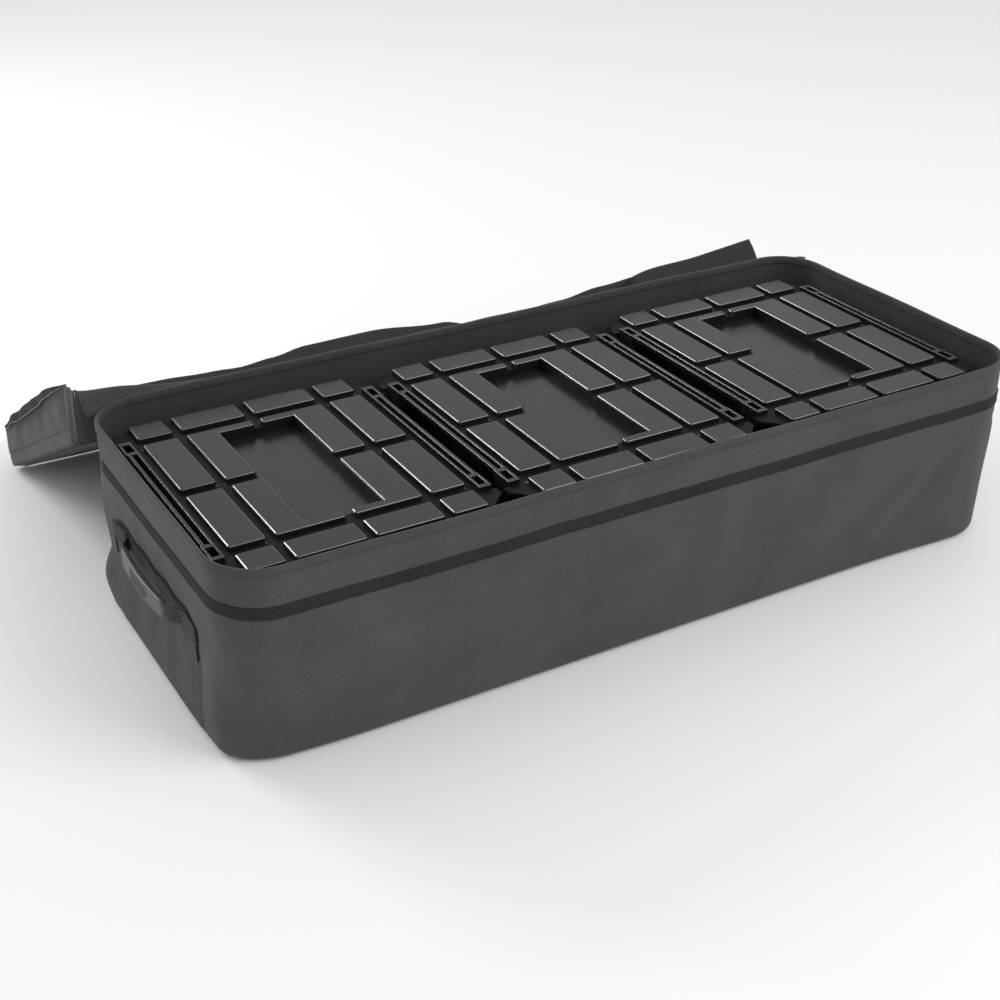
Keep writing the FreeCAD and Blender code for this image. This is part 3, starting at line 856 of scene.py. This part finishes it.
# Lid, thrown open behind the bag: a strip, a board, a skirt and two gussets.
lid = {
    "slope": math.radians(28.17), "run": 329 * mm, "halfLength": 439.0 * mm, "cornerRadius": 8 * mm,
    "cloth": 2.0 * mm, "skirtCloth": 1.6 * mm, "wrinkle": 1.6 * mm, "hem": 1.2 * mm,
    "seamHeight": 16 * mm, "seamEnd": 10 * mm,
    "start": 8 * mm,          # the skirt begins this far from the fold
    "skirtDepth": 200 * mm,   # half depth of the rounded rectangle that carries the skirt
    "stripEnd": 1 * mm, "stripWidth": 62 * mm, "stripCloth": 1.6 * mm, "skirtWidth": 64 * mm,
    "seamGap": 2.2 * mm, "gussetCloth": 1.2 * mm, "bendBefore": 2 * mm, "bendAfter": 8 * mm,
    "cuff": 12 * mm, "cuffOut": 4 * mm, "cuffRoll": 2.5 * mm, "cuffArch": 1.2 * mm, "cuffHem": 1.5 * mm,
    "cuffTape": 1.0 * mm, "cuffCord": 0.7 * mm, "cuffEnds": (0.318, 0.012),   # from the fold
}


def jointPlace(name):  # where a CAD joint turns
    return np.array(next(joint for joint in frame["joints"] if joint["name"] == name)["pos_m"])


hinge, fold = jointPlace("lid_hinge"), jointPlace("lid_fold")
right = np.array([1.0, 0, 0])
along = np.array([0, math.cos(lid["slope"]), -math.sin(lid["slope"])])
inwards = np.array([0, math.sin(lid["slope"]), math.cos(lid["slope"])])


# Cloth near a lid joint: its place is baked into its mesh, and it is not put on a body.
def bendAt(piece):
    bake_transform(piece)


# Place on the lid: x, w from the fold along its slope, and h on its inner side.
def lidPoint(x, w, h):
    x, w, h = [v[..., None] for v in np.broadcast_arrays(x, w, h)]
    return fold + x * right + w * along + h * inwards


# Board: rows from the fold outwards; the last ones follow the rounded far corners. The wrinkles, a sum
# of three waves, only sink to the outer side, so that the closed lid clears the mats.
def makeLidBoard():
    half, radius = lid["halfLength"] - lid["hem"], lid["cornerRadius"]
    x = half * np.sin(np.linspace(-math.pi / 2, math.pi / 2, 181))
    beyond = np.clip(np.abs(x) - half + radius, 0, radius)
    reach = lid["run"] - lid["hem"] - radius + np.sqrt(radius**2 - beyond**2)
    w = np.linspace(0, 1, 60)[:, None] * reach
    ease = smooth(w / 0.02) * smooth((reach - w) / 0.03)
    wrinkles = 0.6 * wave(x / 0.31 + w / 0.24) + 0.25 * wave(x / 0.13 - w / 0.17)
    wrinkles = wrinkles + 0.15 * wave(w / 0.07 + 0.4 * np.sin(x / 0.06))
    grid = lidPoint(x[None], w, -lid["wrinkle"] * ease * wrinkles)
    piece = gridPiece("lid_cloth", grid, liningCloth)
    piece.data.materials.append(bagCloth)
    thicken(piece, lid["cloth"], -1).material_offset = 1
    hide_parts("lid_board")
    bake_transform(piece)


# The strip's slack, in millimetres: how far out it stands, and what is added at the left end and taken
# off at the right one. Both ends change from a distance off the middle, in metres, the left over a stretch.
slackness = {
    "out": 11, "outLeft": 6, "upLeft": 47, "downRight": 9, "ripple": 2,
    "from": 0.3, "over": 0.138,
    "corner": 60, "cornerIn": 22,   # where the rim end follows the bag's corner, and how far in
}


# Hinge strip: a quadratic curve from the back rim over a slack fold and down to the board,
# (1-t)^2 rim + 2t(1-t) slack + t^2 fold. Its rim end follows the bag's corners.
def strip(x, t):
    corner = smooth((np.abs(x) - bagHalf.x + slackness["corner"] * mm) / (slackness["corner"] * mm)) ** 2
    lift = np.clip((-slackness["from"] - x) / slackness["over"], 0, 1) ** 1.15
    ripple = slackness["ripple"] * (wave(x / 0.083) - 0.5) * (1 - lift)
    low = slackness["downRight"] * smooth((x - slackness["from"]) / 0.1)
    rim = (bagHalf.y - 1 * mm - corner * slackness["cornerIn"] * mm, rimTop - 2.5 * mm)
    slack = (hinge[1] + (slackness["out"] + slackness["outLeft"] * lift + ripple) * mm,
             rimTop + (slackness["upLeft"] * lift + ripple - low) * mm)
    y, z = [(1 - t)**2 * rim[i] + 2 * t * (1 - t) * slack[i] + t**2 * fold[i + 1] for i in (0, 1)]
    return asPoints(x, y, z)


# The strip from end to end of the lid, with the lining on one side.
def makeLidStrip():
    half = lid["halfLength"] - lid["stripEnd"]
    x = np.linspace(-half, half, 160)[None]
    grid = strip(x, np.linspace(0, 1, 22)[:, None])
    piece = gridPiece("lid_hinge_cloth", grid, liningCloth)
    piece.data.materials.append(bagCloth)
    thicken(piece, lid["stripCloth"], -1).material_offset = 1
    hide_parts("lid_hinge_strip")
    bendAt(piece)


# Skirt: s runs round the free sides of the lid from the middle of the far edge, positive to the left.
def skirtEnd(w):  # s at a place on the left end, w from the fold
    a, b = lid["halfLength"] - lid["cornerRadius"], lid["skirtDepth"] - lid["cornerRadius"]
    return a + lid["cornerRadius"] * math.pi / 2 + b - (w - lid["run"] + lid["skirtDepth"])


# Free edge as it slumps: heights in millimetres at places along it. The right end and the left end have
# their places in metres from the fold, the far edge has s in millimetres, negative to the right.
slump = [
    *[(-skirtEnd(w), height) for w, height in
      ((0.0, 22), (0.036, 28), (0.043, 64), (0.157, 64), (0.28, 68))],
    *[(s * mm, height) for s, height in
      ((-383, 62), (-317, 55), (-189, 47), (-130, 60), (-30, 69), (60, 68), (110, 62), (150, 59), (190, 61),
       (254, 64), (330, 65), (400, 58))],
    *[(skirtEnd(w), height) for w, height in
      ((0.315, 50), (0.25, 58), (0.15, 62), (0.06, 64), (0.0, 61))],
]


def skirtHeight(s):  # the slump table, each step eased
    place, height = np.array(slump).T
    height = height * mm
    i = np.clip(np.searchsorted(place, s) - 1, 0, len(place) - 2)
    share = smooth((s - place[i]) / (place[i + 1] - place[i]))
    return height[i] + (height[i + 1] - height[i]) * share


# t from the board's edge, 0, to the free edge, 1. Outwards: splay t^1.4 + belly + ripples t + folds,
# less a seam and what the gusset draws in near the fold.
def skirt(s, t):
    x, y, nx, ny = outline(lid["halfLength"], lid["skirtDepth"], lid["cornerRadius"], s)
    w = y + lid["run"] - lid["skirtDepth"]
    left, far = np.clip(-nx, 0, 1), np.clip(ny, 0, 1)
    onEnd = left * smooth((0.32 - w) / 0.06)
    splay = left * 2 * mm * t**1.4
    swell = smooth(t / 0.05) * (1 - 0.35 * smooth((t - 0.3) / 0.7))
    belly = left * (4.5 + 7 * smooth((w - 0.2) / 0.12)) * mm * swell
    ripples = far * (4.0 * wave(x / 0.21 + 0.15) + 2.0 * wave(x / 0.083)) * mm * t
    folds = onEnd * 1.8 * mm * wave(w / 0.062 + 0.15 * np.sin(9 * t)) * smooth((t - 0.2) / 0.3)
    seam = 0.4 * mm * hump(t * skirtHeight(s), lid["seamHeight"], 2 * mm)
    drawnIn = left * 11 * mm * smooth((36 * mm - w) / (36 * mm)) * t**1.5
    d = splay + belly + ripples + folds - seam - drawnIn
    return lidPoint(x + nx * d, w + ny * d, -1 * mm + skirtHeight(s) * t)


# The skirt from one end's fold round to the other's, with a seam at an even height above the board.
def makeLidSkirt():
    s = np.linspace(-skirtEnd(lid["start"]), skirtEnd(lid["start"]), 330)
    piece = gridPiece("lid_skirt_cloth", skirt(s[None], np.linspace(0, 1, 26)[:, None]), bagCloth)
    piece.data.materials.append(liningCloth)
    thicken(piece, lid["skirtCloth"], -1).material_offset = 1
    level = lid["seamHeight"] + lid["seamGap"]

    def out(t):
        nx, ny = outline(lid["halfLength"], lid["skirtDepth"], lid["cornerRadius"], t)[2:]
        return nx[:, None] * right + ny[:, None] * along

    seam = sewAlong("lid_skirt_stitches", lambda t: skirt(t, level / skirtHeight(t)),
                    s[0] + lid["seamEnd"], s[-1] - lid["seamEnd"], "lid", out)
    finishPiece(piece, "lid", "woven_cloth", "lid_skirt")


# Cuff: the top of the left skirt turned outwards, widest at mid length, with its tape side showing. Its light
# cord along the edge is a painted highlight.
def makeCuff():
    s = np.linspace(*map(skirtEnd, lid["cuffEnds"]), 70)
    width = np.sqrt(np.sin(math.pi * np.linspace(0, 1, 70)))
    top = skirt(s, np.ones(70))
    t = np.linspace(0, 1, 9)[:, None, None]
    outwards = lid["cuffRoll"] * np.sin(math.pi * t / 2) + (lid["cuffOut"] - lid["cuffRoll"]) * t
    drop = lid["cuffArch"] * np.sin(math.pi * t) - lid["cuff"] * t**1.5
    grid = top[None] + width[None, :, None] * (drop * inwards - outwards * right)
    piece = gridPiece("lid_cuff_left", grid, hookTape, flip=True)
    thicken(piece, lid["cuffTape"], -1)
    edge = makeCord("lid_cuff_highlight_edge", grid[-1], lid["cuffCord"], highlightEdgeTape)
    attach(edge, "lid")
    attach(piece, "lid")


# Gusset: cloth bunched between the strip's end and the skirt, from one edge line to the other. It bows
# in by a shallow hollow and stands out in a pleat that grows towards its free edge.
def makeGusset(name, side):
    share = np.linspace(0, 1, 18)
    first = skirt(np.full(18, side * -skirtEnd(lid["start"])), share)
    last = strip(np.full(18, side * (lid["halfLength"] - lid["stripEnd"])), 1 - 0.68 * share)
    across = np.linspace(0, 1, 22)[None, :, None]
    share = share[:, None, None]
    hollow = 2.5 * mm * np.sin(math.pi * across) * np.sin(math.pi * share) ** 0.7
    pleat = 2 * mm * (wave(across * 2.2 + 0.3) - 1) * share
    grid = first[:, None] * (1 - across) + last[:, None] * across - side * (hollow + pleat) * right
    piece = gridPiece("lid_gusset_" + name, grid, bagCloth, flip=side < 0)
    thicken(piece, lid["gussetCloth"], -1)
    bendAt(piece)


makeLidBoard()
makeLidStrip()
makeLidSkirt()
makeCuff()
for name, side in sides.items():
    makeGusset(name, side)
print("lid finished")
